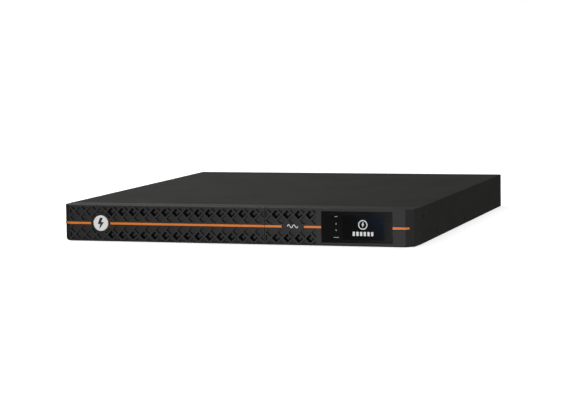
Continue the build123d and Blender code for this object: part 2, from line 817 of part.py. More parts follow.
# Handle: a bent steel strap on the tray's front plate
handle_y = (tray_front_y[0] - handle_out, tray_front_y[0])
handle_z = (z_mid - handle_height / 2, z_mid + handle_height / 2)
handle_foot = handle_length / 2 + handle_lug
handle_foot_y = (handle_y[1] - handle_sheet, handle_y[1])
with BuildPart() as tray_handle:
    block((tray_x - handle_foot, tray_x + handle_foot), handle_foot_y, handle_z)
    grip = handle_length / 2 - handle_lug
    block((tray_x - grip - handle_sheet, tray_x + grip + handle_sheet), handle_y, handle_z)
    block((tray_x - grip, tray_x + grip), (handle_y[0] + handle_sheet, handle_y[1]), handle_z,
          Mode.SUBTRACT)
    outer_bends = tray_handle.edges().filter_by(Axis.Z).group_by(Axis.Y)[0]
    fillet(outer_bends, radius=handle_bend)
    for side in (-1, 1):
        rod_y(tray_x + side * handle_length / 2, z_mid, handle_foot_y,
              screw_clearance_r, Mode.SUBTRACT)


def thumbscrew(side):
    """Captive thumbscrew in an ear of the tray: fluted head, neck and shank."""
    x = tray_x + side * ear_x
    seat = tray_front_y[0] - thumb_gap
    with BuildPart() as screw:
        rod_y(x, z_mid, (seat - thumb_length, seat), thumb_r)
        chamfer(screw.edges().filter_by(GeomType.CIRCLE), length=thumb_chamfer)
        rod_y(x, z_mid, (seat, plate_y[1] + thumb_reach), thumb_shank_r)
        with BuildSketch(front_plane(seat - flute_end)):
            with Locations((x, z_mid)):
                with PolarLocations(thumb_r, flute_count):
                    Circle(flute_r)
        extrude(amount=thumb_length - 2 * flute_end, mode=Mode.SUBTRACT)
        block((x - thumb_slot[0] / 2, x + thumb_slot[0] / 2),
              (seat - thumb_length, seat - thumb_length + thumb_slot[2]),
              (z_mid - thumb_slot[1] / 2, z_mid + thumb_slot[1] / 2), Mode.SUBTRACT)
    return screw


# Battery blocks: four sealed blocks lying flat, two deep and two across
column_x = [tray_left + sheet + k * (battery_width + column_gap) for k in (0, 1)]
row_y = [block_y + k * (battery_length + battery_gap) for k in (0, 1)]
block_z = tray_z + sheet


def battery(x, y):
    """Sealed block on its side: case, lid, and two flat tabs on the lid."""
    z_tab = block_z + battery_height / 2
    with BuildPart() as cell_block:
        case_end = x + battery_width - lid
        block((x, case_end), (y, y + battery_length), (block_z, block_z + battery_height))
        fillet(cell_block.edges().filter_by(Axis.X), radius=battery_round)
        block((case_end, x + battery_width), (y + lid_inset, y + battery_length - lid_inset),
              (block_z + lid_inset, block_z + battery_height - lid_inset))
        for spot in (tab_inset, battery_length - tab_inset):
            block((x + battery_width, x + battery_width + tab),
                  (y + spot - tab_thick / 2, y + spot + tab_thick / 2),
                  (z_tab - link_height / 2, z_tab + link_height / 2))
    return cell_block


# Links: copper straps that join the blocks in series and carry the two ends to the connector
strap_z = (block_z + (battery_height - link_height) / 2, block_z + (battery_height + link_height) / 2)
strap_x = [x + battery_width + tab for x in column_x]
first_tab = row_y[0] + tab_inset
last_tab = row_y[1] + battery_length - tab_inset
front_run = tray_front_y[1] + tray_front_gap / 2
with BuildPart() as battery_links:
    for x in strap_x:
        block((x, x + link_thick),
              (row_y[0] + battery_length - tab_inset - link_lap, row_y[1] + tab_inset + link_lap), strap_z)
    with BuildSketch(Plane.XY.offset(strap_z[0])):
        with BuildLine() as run:
            centre_x = [x + link_thick / 2 for x in strap_x]
            Polyline((centre_x[0], first_tab + link_lap), (centre_x[0], front_run),
                     (centre_x[1], front_run), (centre_x[1], first_tab + link_lap))
            offset(amount=link_thick / 2, side=Side.BOTH, closed=True)
        make_face()
    extrude(amount=link_height)
    block((strap_x[1], strap_x[1] + link_thick), (last_tab - link_lap, tray_back - sheet - plug_front),
          strap_z)

# Connector halves: the tray's plugs into the one on the bay wall as the tray goes home
plug_y = (tray_back - sheet - plug_front, tray_back + plug_back)
with BuildPart() as tray_connector:
    block((plug_x - plug_half, plug_x + plug_half), plug_y, plug_span)
    fillet(tray_connector.edges().filter_by(Axis.Y), radius=plug_round)
    for side in (-1, 1):
        rod_y(plug_x + side * plug_pitch / 2, plug_z, (plug_y[1], plug_y[1] + pin_length), pin_r)

with BuildPart() as bay_connector:
    socket_y = (plug_y[1] + plug_space, bay_y + sheet + bay_plug_back)
    block((plug_x - plug_half, plug_x + plug_half), socket_y, plug_span)
    fillet(bay_connector.edges().filter_by(Axis.Y), radius=plug_round)
    block((plug_x - plug_half - bay_plug_lap, plug_x + plug_half + bay_plug_lap),
          (bay_y + sheet, bay_y + sheet + bay_plug_plate),
          (plug_span[0] - bay_plug_lap, plug_span[1] + bay_plug_lap))
    for side in (-1, 1):
        rod_y(plug_x + side * plug_pitch / 2, plug_z, (socket_y[0], socket_y[0] + pin_length + pin_end_gap),
              pin_bore_r, Mode.SUBTRACT)

# Main board on standoffs, with its screws
board_holes = [
    (x, y)
    for x in (board_x[0] + board_inset, board_x[1] - board_inset)
    for y in (board_y[0] + board_inset, (board_y[0] + board_y[1]) / 2, board_y[1] - board_inset)
]
with BuildPart() as main_board:
    block(board_x, board_y, board_z)
    for x, y in board_holes:
        rod_z(x, y, board_z, screw_clearance_r, Mode.SUBTRACT)

core_span = 3 * core_limb
core_reach = core_window / 2 + core_limb
core_holes = [(core_x + sx * (core_span - core_hole_inset), core_y + sy * (core_reach - core_hole_inset))
              for sx in (-1, 1) for sy in (-1, 1)]
with BuildPart() as standoffs:
    for x, y in board_holes:
        rod_z(x, y, (sheet, board_z[0]), standoff_r)
        rod_z(x, y, (sheet, board_z[0]), screw_hole_r, Mode.SUBTRACT)
    for x, y in core_holes:
        rod_z(x, y, (sheet, core_z), core_foot_r)

# Transformer: laminated core with two windows, and the winding on its middle limb
core_z_span = (core_z, core_z + core_stack)
with BuildPart() as transformer_core:
    block((core_x - core_span, core_x + core_span), (core_y - core_reach, core_y + core_reach), core_z_span)
    for side in (-1, 1):
        near, far = side * core_limb, side * 2 * core_limb
        block(sorted((core_x + near, core_x + far)),
              (core_y - core_window / 2, core_y + core_window / 2), core_z_span, Mode.SUBTRACT)
    for x, y in core_holes:
        rod_z(x, y, core_z_span, core_hole_r, Mode.SUBTRACT)

with BuildPart() as transformer_winding:
    coil_y = (core_y - core_window / 2 + coil_gap, core_y + core_window / 2 - coil_gap)
    coil_x = 2 * core_limb - coil_gap
    block((core_x - coil_x, core_x + coil_x), coil_y,
          (core_z - coil_build, core_z + core_stack + coil_build))
    fillet(transformer_winding.edges().filter_by(Axis.Y), radius=coil_round)
    block((core_x - core_limb, core_x + core_limb), coil_y, core_z_span, Mode.SUBTRACT)

# Heat sink: an extruded comb of fins, with the power transistors against its right side
with BuildPart() as heat_sink:
    block(sink_x, sink_y, (board_z[1], board_z[1] + sink_base))
    fin_step = (sink_x[1] - sink_x[0] - sink_base - fin) / (fin_count - 1)
    for k in range(fin_count):
        left = sink_x[0] + fin_step * k
        block((left, left + fin), sink_y, (board_z[1], board_z[1] + sink_height))
    block((sink_x[1] - sink_base, sink_x[1]), sink_y, (board_z[1], board_z[1] + sink_height))

with BuildPart() as power_transistors:
    first = (sink_y[0] + sink_y[1]) / 2 - transistor_pitch * (transistor_count - 1) / 2
    for k in range(transistor_count):
        y = first + transistor_pitch * k
        foot = board_z[1] + transistor_rise
        block((sink_x[1], sink_x[1] + transistor[0]), (y - transistor[1] / 2, y + transistor[1] / 2),
              (foot, foot + transistor[2]))
        for place in (y - lead_pitch, y, y + lead_pitch):
            block((sink_x[1] + lead_inset, sink_x[1] + lead_inset + lead[0]),
                  (place - lead[1] / 2, place + lead[1] / 2), (board_z[1], foot))

with BuildPart() as capacitors:
    for x in capacitor_x:
        for y in capacitor_y:
            rod_z(x, y, (board_z[1], board_z[1] + capacitor_height), capacitor_r)
    rims = capacitors.edges().filter_by(GeomType.CIRCLE).group_by(Axis.Z)[-1]
    fillet(rims, radius=capacitor_round)


def grille(x):
    """Centres of a hexagonal grid of air holes over the fan at x."""
    row_step = grille_pitch * math.sqrt(3) / 2
    reach = math.ceil(grille_r / row_step)
    grid = [((k + 0.5 * (row % 2)) * grille_pitch, row * row_step)
            for row in range(-reach, reach + 1) for k in range(-reach, reach + 1)]
    return [(x + u, z_mid + v) for u, v in grid if math.hypot(u, v) < grille_r - grille_hole_r]


def keyed_points(size):
    """Outline of an appliance connector: a rectangle whose two upper corners are cut off."""
    x, z = size[0] / 2, size[1] / 2
    return [(-x, -z), (x, -z), (x, z - socket_key), (x - socket_key, z), (socket_key - x, z),
            (-x, z - socket_key)]


def around(x, z, size):
    """Limits on X and on Z of a rectangle with its middle at (x, z)."""
    return (x - size[0] / 2, x + size[0] / 2), (z - size[1] / 2, z + size[1] / 2)


# Rear panel, cut for what is mounted in it
outlets = [(outlet_x + outlet_pitch * k, z_mid) for k in range(outlet_count)]
outlet_mid = outlet_x + outlet_pitch * (outlet_count - 1) / 2
outlet_width = outlet_pitch * outlet_count
fan_screw_places = [(x + sx * fan_hole_pitch / 2, z_mid + sz * fan_hole_pitch / 2)
                    for x in fan_x for sx in (-1, 1) for sz in (-1, 1)]
card_screws = [(card_x + side * (card_width / 2 + card_lap - card_screw_inset), z_mid) for side in (-1, 1)]
with BuildPart() as rear_panel:
    with BuildSketch(front_plane(panel_y[1])):
        with Locations((0, (sheet + z_roof) / 2)):
            Rectangle(2 * (pan_inner - seam_gap), z_roof - sheet)
        for x in fan_x:
            with Locations(*grille(x)):
                Circle(grille_hole_r, mode=Mode.SUBTRACT)
        with Locations(*fan_screw_places, *card_screws):
            Circle(screw_hole_r, mode=Mode.SUBTRACT)
        with Locations((card_x, z_mid)):
            Rectangle(card_width, card_height, mode=Mode.SUBTRACT)
        with Locations((serial_x, serial_z)):
            Rectangle(*serial_hole, mode=Mode.SUBTRACT)
        with Locations((usb_x, usb_z)):
            Rectangle(usb_size[0] + 2 * fit, usb_size[1] + 2 * fit, mode=Mode.SUBTRACT)
        with Locations((epo_x, epo_z)):
            Rectangle(epo_size[0] + 2 * fit, epo_size[1] + 2 * fit, mode=Mode.SUBTRACT)
        with Locations((breaker_x, z_mid)):
            Circle(breaker_neck_r + fit, mode=Mode.SUBTRACT)
        with Locations((outlet_mid, z_mid)):
            Rectangle(outlet_width + 2 * fit, outlet_body + 2 * fit, mode=Mode.SUBTRACT)
        with Locations((inlet_x, z_mid)):
            Rectangle(inlet_body[0] + 2 * fit, inlet_body[1] + 2 * fit, mode=Mode.SUBTRACT)
        with Locations((stud_x, stud_z)):
            Circle(stud_r + fit, mode=Mode.SUBTRACT)
    extrude(amount=sheet)

# Outlet bank: one moulding with four sockets, each a keyed island in a groove for the plug's shroud
flange_y = (y_rear, y_rear + flange_thick)
with BuildPart() as outlet_bank:
    span_x, span_z = around(outlet_mid, z_mid, (outlet_width, outlet_body))
    block(span_x, (y_rear - outlet_inside, y_rear), span_z)
    span_x, span_z = around(outlet_mid, z_mid, (outlet_width + 2 * flange_lap, outlet_body + 2 * flange_lap))
    block(span_x, flange_y, span_z)
    with BuildSketch(front_plane(flange_y[1])):
        with Locations(*outlets):
            RectangleRounded(*socket_groove, socket_round)
            Polygon(*keyed_points(socket_island), align=None, mode=Mode.SUBTRACT)
    extrude(amount=socket_depth, mode=Mode.SUBTRACT)
    with BuildSketch(front_plane(flange_y[1])):
        with Locations(*outlets):
            with Locations((-blade_pitch / 2, -blade_rise / 2), (blade_pitch / 2, -blade_rise / 2),
                           (0, blade_rise / 2)):
                Rectangle(*blade_slot)
    extrude(amount=socket_depth, mode=Mode.SUBTRACT)

# Mains inlet: a keyed well with three flat blades in it, and their tabs behind
inlet_blades = [(inlet_x - blade_pitch / 2, z_mid - blade_rise / 2),
                (inlet_x + blade_pitch / 2, z_mid - blade_rise / 2), (inlet_x, z_mid + blade_rise / 2)]
with BuildPart() as mains_inlet:
    span_x, span_z = around(inlet_x, z_mid, inlet_body)
    block(span_x, (y_rear - inlet_inside, y_rear), span_z)
    span_x, span_z = around(inlet_x, z_mid, [side + 2 * flange_lap for side in inlet_body])
    block(span_x, flange_y, span_z)
    with BuildSketch(front_plane(flange_y[1])):
        with Locations((inlet_x, z_mid)):
            Polygon(*keyed_points(inlet_well), align=None)
    extrude(amount=inlet_depth, mode=Mode.SUBTRACT)
    with BuildSketch(front_plane(flange_y[1])):
        with Locations(*inlet_blades):
            Rectangle(*inlet_blade)
    extrude(amount=inlet_inside + flange_thick, mode=Mode.SUBTRACT)

with BuildPart() as inlet_pins:
    for x, z in inlet_blades:
        span_x, span_z = around(x, z, inlet_blade)
        block(span_x, (y_rear - inlet_inside - blade_tab, flange_y[1] - blade_set_back), span_z)
    fillet(inlet_pins.edges().filter_by(Axis.Z).group_by(Axis.Y)[-1], radius=blade_round)

# Breaker and its reset button
neck_y = (y_rear - sheet, y_rear + breaker_neck_out)
with BuildPart() as breaker_body:
    span_x, span_z = around(breaker_x, z_mid, breaker_body_size)
    block(span_x, (y_rear - sheet - breaker_body_size[2], y_rear - sheet), span_z)
    rod_y(breaker_x, z_mid, neck_y, breaker_neck_r)
    with BuildSketch(front_plane(y_rear + breaker_nut)):
        with Locations((breaker_x, z_mid)):
            RegularPolygon(breaker_nut_r, 6)
    extrude(amount=breaker_nut)
    rod_y(breaker_x, z_mid, (neck_y[1] - button_bore, neck_y[1]), button_bore_r, Mode.SUBTRACT)

with BuildPart() as breaker_button:
    rod_y(breaker_x, z_mid, (neck_y[1] - button_length, neck_y[1] + button_out), button_r)
    fillet(breaker_button.edges().sort_by(Axis.Y)[-1], radius=button_round)

# Data port: square metal shell with a tongue
usb_y = (y_rear - usb_in, y_rear + usb_out)
with BuildPart() as data_port:
    span_x, span_z = around(usb_x, usb_z, usb_size)
    block(span_x, usb_y, span_z)
    span_x, span_z = around(usb_x, usb_z, usb_mouth)
    block(span_x, (usb_y[1] - usb_mouth[2], usb_y[1]), span_z, Mode.SUBTRACT)
    span_x, span_z = around(usb_x, usb_z, usb_tongue)
    block(span_x, (usb_y[1] - usb_mouth[2], usb_y[1] - usb_tongue_back), span_z)

# Serial port: D-shaped nose on a plate, with two hexagonal posts and nine sockets
with BuildPart() as serial_port:
    serial_plate_y = (y_rear - sheet - serial_plate[2], y_rear - sheet)
    nose_out = y_rear + serial_nose[2]
    span_x, span_z = around(serial_x, serial_z, serial_plate)
    block(span_x, serial_plate_y, span_z)
    span_x, span_z = around(serial_x, serial_z, serial_back)
    block(span_x, (serial_plate_y[0] - serial_back[2], serial_plate_y[0]), span_z)
    with BuildSketch(front_plane(nose_out)):
        with Locations((serial_x, serial_z)):
            Trapezoid(serial_nose[0], serial_nose[1], serial_nose_angle, rotation=180)
    extrude(amount=nose_out - serial_plate_y[0])
    long_sides = serial_port.edges().filter_by(Axis.Y).filter_by_position(
        Axis.Y, y_rear - serial_nose[2], nose_out)
    fillet(long_sides, radius=serial_round)
    upper = [(serial_x + contact_pitch * k, serial_z + contact_row) for k in (-2, -1, 0, 1, 2)]
    lower = [(serial_x + contact_pitch * k, serial_z - contact_row) for k in (-1.5, -0.5, 0.5, 1.5)]
    for x, z in upper + lower:
        rod_y(x, z, (nose_out - contact_depth, nose_out), contact_r, Mode.SUBTRACT)

# Remote-switch terminal: two-way block with square mouths and a screw over each
with BuildPart() as switch_terminal:
    epo_face = y_rear + epo_out
    span_x, span_z = around(epo_x, epo_z, epo_size)
    block(span_x, (y_rear - epo_in, epo_face), span_z)
    for x in (epo_x - epo_pitch / 2, epo_x + epo_pitch / 2):
        span_x, span_z = around(x, epo_z - epo_mouth_drop, epo_mouth)
        block(span_x, (epo_face - epo_mouth[2], epo_face), span_z, Mode.SUBTRACT)
        rod_y(x, epo_z + epo_screw_rise, (epo_face - epo_screw_depth, epo_face), epo_screw_r, Mode.SUBTRACT)
        span_x, span_z = around(x, epo_z + epo_screw_rise, epo_blade)
        block(span_x, (epo_face - epo_screw_depth, epo_face - epo_screw_depth + epo_blade[2]), span_z)

# Cover of the card slot, with a lip to pull it by
with BuildPart() as card_slot_cover:
    span_x, span_z = around(card_x, z_mid, (card_width + 2 * card_lap, card_height + 2 * card_lap_z))
    block(span_x, (y_rear, y_rear + sheet), span_z)
    for x, z in card_screws:
        rod_y(x, z, (y_rear, y_rear + sheet), screw_clearance_r, Mode.SUBTRACT)
    lip_z = z_mid - card_height / 2 + card_lap_z
    block((card_x - card_lip[0] / 2, card_x + card_lip[0] / 2),
          (y_rear + sheet, y_rear + sheet + card_lip[1]), (lip_z, lip_z + sheet))
    fillet(card_slot_cover.edges().filter_by(Axis.Z).group_by(Axis.Y)[-1], radius=card_lip_round)

# Fans: square frame with four struts to a bearing, and a bladed rotor on a shaft
fan_y = (y_rear - sheet - fan_thick, y_rear - sheet)


def fan_frame(x):
    """Frame of one fan: the air goes through it along Y."""
    with BuildPart() as frame:
        with BuildSketch(front_plane(fan_y[1])):
            with Locations((x, z_mid)):
                RectangleRounded(fan, fan, fan_corner)
                Circle(fan_bore_r, mode=Mode.SUBTRACT)
                with GridLocations(fan_hole_pitch, fan_hole_pitch, 2, 2):
                    Circle(screw_hole_r, mode=Mode.SUBTRACT)
        extrude(amount=fan_thick)
        with BuildSketch(front_plane(fan_y[1])):
            with Locations((x, z_mid)):
                Circle(fan_hub_r)
                for turn in fan_strut_turns:
                    Rectangle(2 * (fan_bore_r + root), fan_strut, rotation=turn)
        extrude(amount=fan_strut_thick)
        rod_y(x, z_mid, (fan_y[1] - fan_strut_thick, fan_y[1]), fan_shaft_r + fan_bearing_gap,
              Mode.SUBTRACT)
    return frame


def fan_rotor(x):
    """Hub, blades and shaft of one fan."""
    low = fan_y[0] + fan_end_gap
    length = fan_thick - fan_strut_thick - 2 * fan_end_gap
    with BuildPart(Plane(origin=(x, low, z_mid), x_dir=(1, 0, 0), z_dir=(0, 1, 0))) as rotor:
        with PolarLocations((fan_hub_r + fan_bore_r) / 2 - root, fan_blades):
            with Locations((0, 0, length / 2)):
                Box(*blade, rotation=(blade_turn, 0, 0))
        Cylinder(fan_bore_r - fan_tip_gap, length, align=(Align.CENTER, Align.CENTER, Align.MIN),
                 mode=Mode.INTERSECT)
        Cylinder(fan_hub_r, length, align=(Align.CENTER, Align.CENTER, Align.MIN))
        fillet(rotor.edges().filter_by(GeomType.CIRCLE).group_by(Axis.Y)[0], radius=hub_round)
        Cylinder(fan_shaft_r, fan_y[1] - low - fit, align=(Align.CENTER, Align.CENTER, Align.MIN))
    return rotor


# Pan-head screws: boards, display bezel, fans and card slot cover
with BuildPart() as pan_screws:
    for x, y in board_holes:
        pan_screw(x, y, board_z[1], (0, 0, 1))
    for x, z in display_bosses:
        pan_screw(x, display_board_y[1], z, (0, 1, 0))
    for x, z in plate_bosses:
        pan_screw(x, plate_y[1], z, (0, 1, 0))
    for x, z in fan_screw_places:
        pan_screw(x, y_rear, z, (0, 1, 0))
    for x, z in card_screws:
        pan_screw(x, y_rear + sheet, z, (0, 1, 0))

# Earth stud, riveted in the panel with a collar on each side
with BuildPart() as earth_stud:
    rod_y(stud_x, stud_z, (y_rear - sheet - stud_collar, y_rear - sheet), stud_collar_r)
    rod_y(stud_x, stud_z, (y_rear - sheet, y_rear), stud_r)
    rod_y(stud_x, stud_z, (y_rear, y_rear + stud_collar), stud_collar_r)
    rod_y(stud_x, stud_z, (y_rear + stud_collar, y_rear + stud_collar + stud_out), stud_r)

pieces = {
    "base_pan": base_pan,
    "top_cover": top_cover,
    "cover_screws": cover_screws,
    "front_plate": front_plate,
    "rear_panel": rear_panel,
    "pan_screws": pan_screws,
    "bay_wall": bay_wall,
    "tray_guides": tray_guides,
    "bay_connector": bay_connector,
    "display_bezel": display_bezel,
    "vent_baffle": vent_baffle,
    "stripe_seam_side": stripe(*display_spans[0]),
    "stripe_panel_side": stripe(*display_spans[1]),
    "stripe_corner_right": stripe(*display_spans[2]),
    "display_lens": display_lens,
    "display_window": display_window,
    "lcd_module": lcd_module,
    "display_board": display_board,
    "key_switches": key_switches,
    "main_board": main_board,
    "standoffs": standoffs,
    "transformer_core": transformer_core,
    "transformer_winding": transformer_winding,
    "heat_sink": heat_sink,
    "power_transistors": power_transistors,
    "capacitors": capacitors,
    "mains_inlet": mains_inlet,
    "inlet_pins": inlet_pins,
    "outlet_bank": outlet_bank,
    "breaker_body": breaker_body,
    "breaker_button": breaker_button,
    "data_port": data_port,
    "serial_port": serial_port,
    "switch_terminal": switch_terminal,
    "card_slot_cover": card_slot_cover,
    "earth_stud": earth_stud,
    "door_bezel": door_bezel,
    "door_stripe_corner": stripe(*door_spans[0]),
    "door_stripe_main": stripe(*door_spans[1]),
    "badge": badge,
    "door_baffle": door_baffle,
    "door_pegs": door_pegs,
    "tray_pan": tray_pan,
    "tray_handle": tray_handle,
    "battery_links": battery_links,
    "tray_connector": tray_connector,
    "thumbscrew_left": thumbscrew(-1),
    "thumbscrew_right": thumbscrew(1),
    "fan_frame_left": fan_frame(fan_x[0]),
    "fan_frame_right": fan_frame(fan_x[1]),
    "fan_rotor_left": fan_rotor(fan_x[0]),
    "fan_rotor_right": fan_rotor(fan_x[1]),
}
for name, (x, z) in zip(("key_power", "key_up", "key_down", "key_enter"), keys):
    pieces[name] = key(x, z)
for number, (x, y) in enumerate([(x, y) for x in column_x for y in row_y], start=1):
    pieces[f"battery_{number}"] = battery(x, y)

os.makedirs("parts", exist_ok=True)
for name, piece in pieces.items():
    piece.part.label = name
    export_step(piece.part, f"parts/{name}.step")
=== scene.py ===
import math

import bpy
import numpy as np
from mathutils import Matrix, Vector


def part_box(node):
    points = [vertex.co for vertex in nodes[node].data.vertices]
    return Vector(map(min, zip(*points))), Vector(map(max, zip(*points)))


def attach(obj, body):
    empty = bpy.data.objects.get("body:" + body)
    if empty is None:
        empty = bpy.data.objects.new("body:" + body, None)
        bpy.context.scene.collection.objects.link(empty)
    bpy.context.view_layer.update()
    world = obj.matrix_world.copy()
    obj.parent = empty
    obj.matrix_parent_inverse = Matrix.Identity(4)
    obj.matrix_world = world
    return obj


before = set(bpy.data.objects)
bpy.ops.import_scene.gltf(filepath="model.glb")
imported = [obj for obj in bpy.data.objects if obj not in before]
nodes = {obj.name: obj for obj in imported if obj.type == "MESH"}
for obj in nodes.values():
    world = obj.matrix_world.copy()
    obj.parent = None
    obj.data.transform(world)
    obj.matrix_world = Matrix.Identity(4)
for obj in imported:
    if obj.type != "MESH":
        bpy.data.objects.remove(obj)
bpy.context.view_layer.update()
MM = 0.001


# ---- Camera -------------------------------------------------------------------------------------
# A long lens a little to the right of the unit and slightly above it, so that the face, the top and
# a sliver of the right-hand side all show.
YAW, PITCH, ROLL = 0.315637, 0.099003, -0.01707
CAMERA_X, CAMERA_AHEAD, CAMERA_Z = 0.7548, 2.1301, 0.2635  # metres; the second is out from the face
face_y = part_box("door_bezel")[0][1]
camera_data = bpy.data.cameras.new("camera")
camera_data.lens = 124.1
camera_data.sensor_width = 36.0
camera_data.clip_end = 20.0
camera = bpy.data.objects.new("camera", camera_data)
bpy.context.collection.objects.link(camera)
forward = np.array([-math.sin(YAW) * math.cos(PITCH), math.cos(YAW) * math.cos(PITCH), -math.sin(PITCH)])
level_right = np.array([math.cos(YAW), math.sin(YAW), 0.0])
level_up = np.cross(level_right, forward)
right = level_right * math.cos(ROLL) + level_up * math.sin(ROLL)
up = level_up * math.cos(ROLL) - level_right * math.sin(ROLL)
turn = np.eye(4)
turn[:3, 0], turn[:3, 1], turn[:3, 2] = right, up, -forward
turn[:3, 3] = (CAMERA_X, face_y - CAMERA_AHEAD, CAMERA_Z)
camera.matrix_world = Matrix(turn.tolist())
bpy.context.scene.camera = camera
bpy.context.scene.view_settings.view_transform = "Standard"


# ---- Studio -------------------------------------------------------------------------------------
# A paper floor that is white to the camera and nearly black to all else, so that it throws no light at
# the dark unit. A low softbox in front lights the face by its gloss, and weaker lamps light the rest.
def linear(code):
    """A colour given as an sRGB hex string, as linear red, green, blue and alpha."""
    value = np.array([int(code[k:k + 2], 16) for k in (1, 3, 5)]) / 255.0
    low, high = value / 12.92, ((value + 0.055) / 1.055) ** 2.4
    return [*np.where(value <= 0.04045, low, high).tolist(), 1.0]


def add(tree, kind, links=(), stops=(), **settings):
    """Adds a shader node. Settings are its properties or input values, links are (input, socket) pairs,
    and stops are the (position, colour) pairs of a colour ramp."""
    node = tree.nodes.new(kind)
    for name, value in settings.items():
        if name in node.bl_rna.properties:
            setattr(node, name, value)
        else:
            node.inputs[name.replace("_", " ")].default_value = value
    for k, (position, code) in enumerate(stops):
        node.color_ramp.elements[k].position, node.color_ramp.elements[k].color = position, linear(code)
    for name, socket in links:
        tree.links.new(socket, node.inputs[name])
    return node


def grid_mesh(name, x, y, z, close_u=False):
    """Mesh through the points (x, y, z) in metres, given as three arrays whose rows and columns are the
    surface's two parameters. close_u joins the last column to the first."""
    rows, cols = x.shape
    points = np.stack([x, y, z], axis=-1).reshape(-1, 3)
    columns = np.arange(cols if close_u else cols - 1)
    i, j = np.meshgrid(np.arange(rows - 1), columns, indexing="ij")
    k = (j + 1) % cols
    faces = np.stack([i * cols + j, i * cols + k, (i + 1) * cols + k, (i + 1) * cols + j], axis=-1)
    mesh = bpy.data.meshes.new(name)
    mesh.from_pydata(points.tolist(), [], faces.reshape(-1, 4).tolist())
    return mesh


def place(name, mesh, made):
    """Object for a finished mesh, at the origin, with one material."""
    piece = bpy.data.objects.new(name, mesh)
    bpy.context.collection.objects.link(piece)
    mesh.materials.append(made)
    return piece


def material(name, **shader_values):
    """New material with values on its shader's own sockets, as (material, tree, shader)."""
    made = bpy.data.materials.new(name)
    made.use_nodes = True
    shader = made.node_tree.nodes["Principled BSDF"]
    for socket, value in shader_values.items():
        shader.inputs[socket.replace("_", " ")].default_value = value
    return made, made.node_tree, shader


FLOOR_HALF, FLOOR_DROP = 6.0, 0.0002  # metres; the drop keeps the floor clear of the pan's underside
floor_side = np.linspace(-FLOOR_HALF, FLOOR_HALF, 2)
floor_x, floor_y = np.meshgrid(floor_side, floor_side)
# Uncoated white paper lit a little from behind: flat white, with no gloss.
paper, paper_tree, paper_shader = material(
    "studio_paper", Base_Color=linear("#f6f6f6"), Roughness=1.0, Specular_IOR_Level=0.0,
    Emission_Color=linear("#ffffff"), Emission_Strength=0.55)
floor = place("floor", grid_mesh("floor", floor_x, floor_y, np.full((2, 2), -FLOOR_DROP)), paper)
floor.visible_glossy = floor.visible_shadow = False
seen = add(paper_tree, "ShaderNodeLightPath")
unseen = add(paper_tree, "ShaderNodeBsdfDiffuse", Color=linear("#0a0a0a"))
either = add(paper_tree, "ShaderNodeMixShader", [
    (0, seen.outputs["Is Camera Ray"]), (1, unseen.outputs["BSDF"]), (2, paper_shader.outputs["BSDF"])])
paper_tree.links.new(either.outputs["Shader"], paper_tree.nodes["Material Output"].inputs["Surface"])


def soft_light(name, place_at, look_at, size, power):
    """Rectangular soft light: where it stands, where it points, its two sides and its power in watts."""
    data = bpy.data.lights.new(name, "AREA")
    data.shape = "RECTANGLE"
    data.size, data.size_y = size
    data.energy = power
    lamp = bpy.data.objects.new(name, data)
    bpy.context.collection.objects.link(lamp)
    lamp.location = place_at
    lamp.rotation_mode = "QUATERNION"
    lamp.rotation_quaternion = (Vector(look_at) - Vector(place_at)).to_track_quat("-Z", "Y")
    lamp.visible_camera = False


FRONT_SIZE, FRONT_GLOW = (1.9, 1.5), 5.6  # metres, and how bright its reflection is
soft_light("front_softbox", (0.43, face_y - 3.0, -0.2), (0.12, 0.0, 0.02), FRONT_SIZE,
           FRONT_GLOW * math.pi * FRONT_SIZE[0] * FRONT_SIZE[1])
soft_light("top_softbox", (-0.42, 0.1, 0.6), (-0.42, 0.1, 0.0), (0.7, 1.1), 3.4)
soft_light("side_fill", (2.6, 0.4, -0.1), (0.2, 0.1, 0.02), (1.6, 1.0), 10.5)
soft_light("rear_softbox", (-0.7, 3.0, -0.6), (0.0, 0.25, 0.02), (1.6, 0.9), 30.0)
sun_data = bpy.data.lights.new("overhead", "SUN")
sun_data.energy, sun_data.angle = 0.85, math.radians(80)
sun = bpy.data.objects.new("overhead", sun_data)
bpy.context.collection.objects.link(sun)
sun.rotation_euler = (math.radians(-4), math.radians(4), 0)
SKY_DIFFUSE, SKY_GLOSSY = 0.30, 0.05  # white to the camera, weak as fill and weaker in reflections
world = bpy.data.worlds.new("studio")
world.use_nodes = True
bpy.context.scene.world = world
path = add(world.node_tree, "ShaderNodeLightPath")
fill = add(world.node_tree, "ShaderNodeMapRange", [("Value", path.outputs["Is Glossy Ray"])],
           To_Min=SKY_DIFFUSE, To_Max=SKY_GLOSSY)
glow = add(world.node_tree, "ShaderNodeMapRange", [
    ("Value", path.outputs["Is Camera Ray"]), ("To Min", fill.outputs["Result"])], To_Max=1.0)
sky = world.node_tree.nodes["Background"]
world.node_tree.links.new(glow.outputs["Result"], sky.inputs["Strength"])
sky.inputs["Color"].default_value = linear("#ffffff")


